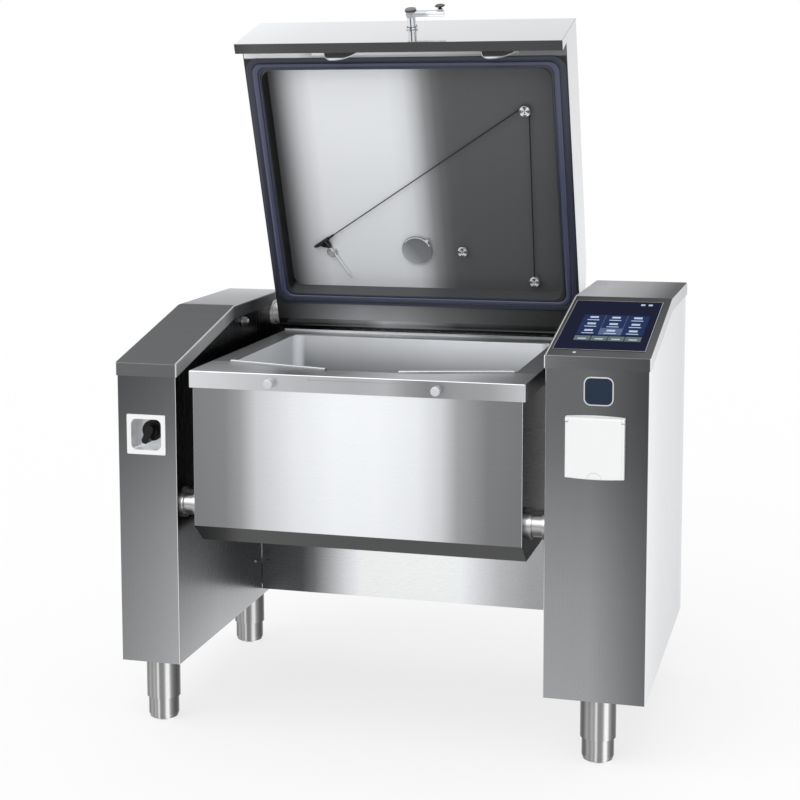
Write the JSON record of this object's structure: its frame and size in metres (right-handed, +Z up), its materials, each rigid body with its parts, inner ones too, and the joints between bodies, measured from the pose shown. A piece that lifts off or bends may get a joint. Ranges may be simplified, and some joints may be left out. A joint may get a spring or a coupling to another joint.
{
  "type": "tilting multifunction cooker",
  "caption": "Free-standing tilting cooking pan between two pillars, with a hinged insulated lid held open, a sloped touch display, a main switch and a covered socket.",
  "frame": {"origin": "on the floor, under the middle of the machine's overall box", "axes": "+Z up, -Y towards the person who uses it, +X to their right"},
  "size_m": [1.292, 0.86, 1.779],
  "materials": {
    "brushed_steel": "fine brushed stainless sheet",
    "basin_steel": "blasted stainless",
    "bright_steel": "polished",
    "frame_steel": "satin",
    "heater_alloy": "rough",
    "blue_silicone": "silicone, satin",
    "mineral_wool": "matt",
    "white_plastic": "satin",
    "black_plastic": "satin",
    "black_rubber": "matt",
    "display_glass": "gloss"
  },
  "bodies": {
    "stand": {"back_panel": "brushed_steel", "controller": "black_plastic", "cross_beam": "frame_steel", "display_glass": "display_glass", "left_base": "brushed_steel", "left_cap": "brushed_steel", "left_casing": "brushed_steel", "left_frame": "frame_steel", "left_rear_cover": "brushed_steel", "lid_bearing_left": "brushed_steel", "lid_bearing_right": "brushed_steel", "lid_stop_bolt": "bright_steel", "lid_torsion_bar": "frame_steel", "power_unit": "black_plastic", "rear_tie": "brushed_steel", "right_base": "brushed_steel", "right_cap": "brushed_steel", "right_casing": "brushed_steel", "right_frame": "frame_steel", "right_rear_cover": "brushed_steel", "side_screw": "bright_steel", "socket_frame": "white_plastic", "socket_insert": "black_plastic", "switch_body": "black_plastic", "switch_plate": "white_plastic", "switch_recess": "brushed_steel", "tilt_bearing_left": "brushed_steel", "tilt_bearing_right": "brushed_steel", "tilt_gearmotor": "frame_steel"},
    "pan": {"pan_rim": "brushed_steel", "basin": "basin_steel", "heating_plate": "heater_alloy", "pan_casing": "brushed_steel", "pan_bottom_cover": "brushed_steel", "pan_insulation": "mineral_wool", "trunnion_left": "brushed_steel", "trunnion_right": "brushed_steel", "lock_pin_left": "bright_steel", "lock_pin_right": "bright_steel"},
    "lid": {"lid_shell": "brushed_steel", "lid_tray": "brushed_steel", "lid_gasket": "blue_silicone", "lid_insulation": "mineral_wool", "lid_hinge_tube": "brushed_steel", "vent_baffle": "brushed_steel", "cable_guide": "bright_steel", "cable_gland": "bright_steel", "basket_hook": "bright_steel", "probe_holder": "bright_steel", "core_probe": "black_plastic", "probe_cable": "black_rubber"},
    "lock_bar": {"lock_bar": "brushed_steel"},
    "handle": {"lid_handle": "bright_steel", "handle_button": "black_plastic"},
    "flap": {"socket_flap": "white_plastic"},
    "switch_knob": {"switch_knob": "black_plastic"},
    "front_left_foot": {"left_front_foot": "brushed_steel"},
    "rear_left_foot": {"left_rear_foot": "brushed_steel"},
    "front_right_foot": {"right_front_foot": "brushed_steel"},
    "rear_right_foot": {"right_rear_foot": "brushed_steel"}
  },
  "joints": [
    {"name": "pan_tilt", "type": "hinge", "parent": "stand", "child": "pan", "pos_m": [-0.0415, -0.3385, 0.563], "axis": [1, 0, 0], "range_deg": [0, 90]},
    {"name": "lid_hinge", "type": "hinge", "parent": "stand", "child": "lid", "pos_m": [-0.0415, 0.3665, 0.946], "axis": [-1, 0, 0], "range_deg": [-68.8, 0]},
    {"name": "handle_turn", "type": "hinge", "parent": "lid", "child": "handle", "pos_m": [-0.026, 0.10738, 1.71912], "axis": [0, 0.3616, -0.9323], "range_deg": [0, 64.78]},
    {"name": "lock_slide", "type": "slide", "parent": "lid", "child": "lock_bar", "axis": [-1, 0, 0], "range_m": [0, 0.03]},
    {"name": "socket_flap_hinge", "type": "hinge", "parent": "stand", "child": "flap", "pos_m": [0.523, -0.3995, 0.824], "axis": [-1, 0, 0], "range_deg": [0, 105], "stiffness_Nm_per_rad": 0.08, "springref_deg": -28.65},
    {"name": "switch_turn", "type": "hinge", "parent": "stand", "child": "switch_knob", "pos_m": [-0.562, -0.3885, 0.741], "axis": [0, 1, 0], "range_deg": [0, 90]},
    {"name": "front_left_foot_height", "type": "slide", "parent": "stand", "child": "front_left_foot", "axis": [0, 0, -1], "range_m": [0, 0.025]},
    {"name": "rear_left_foot_height", "type": "slide", "parent": "stand", "child": "rear_left_foot", "axis": [0, 0, -1], "range_m": [0, 0.025]},
    {"name": "front_right_foot_height", "type": "slide", "parent": "stand", "child": "front_right_foot", "axis": [0, 0, -1], "range_m": [0, 0.025]},
    {"name": "rear_right_foot_height", "type": "slide", "parent": "stand", "child": "rear_right_foot", "axis": [0, 0, -1], "range_m": [0, 0.025]}
  ],
  "couplings": [
    {"joint": "lock_slide", "follows": "handle_turn", "m_per_rad": 0.026532}
  ]
}
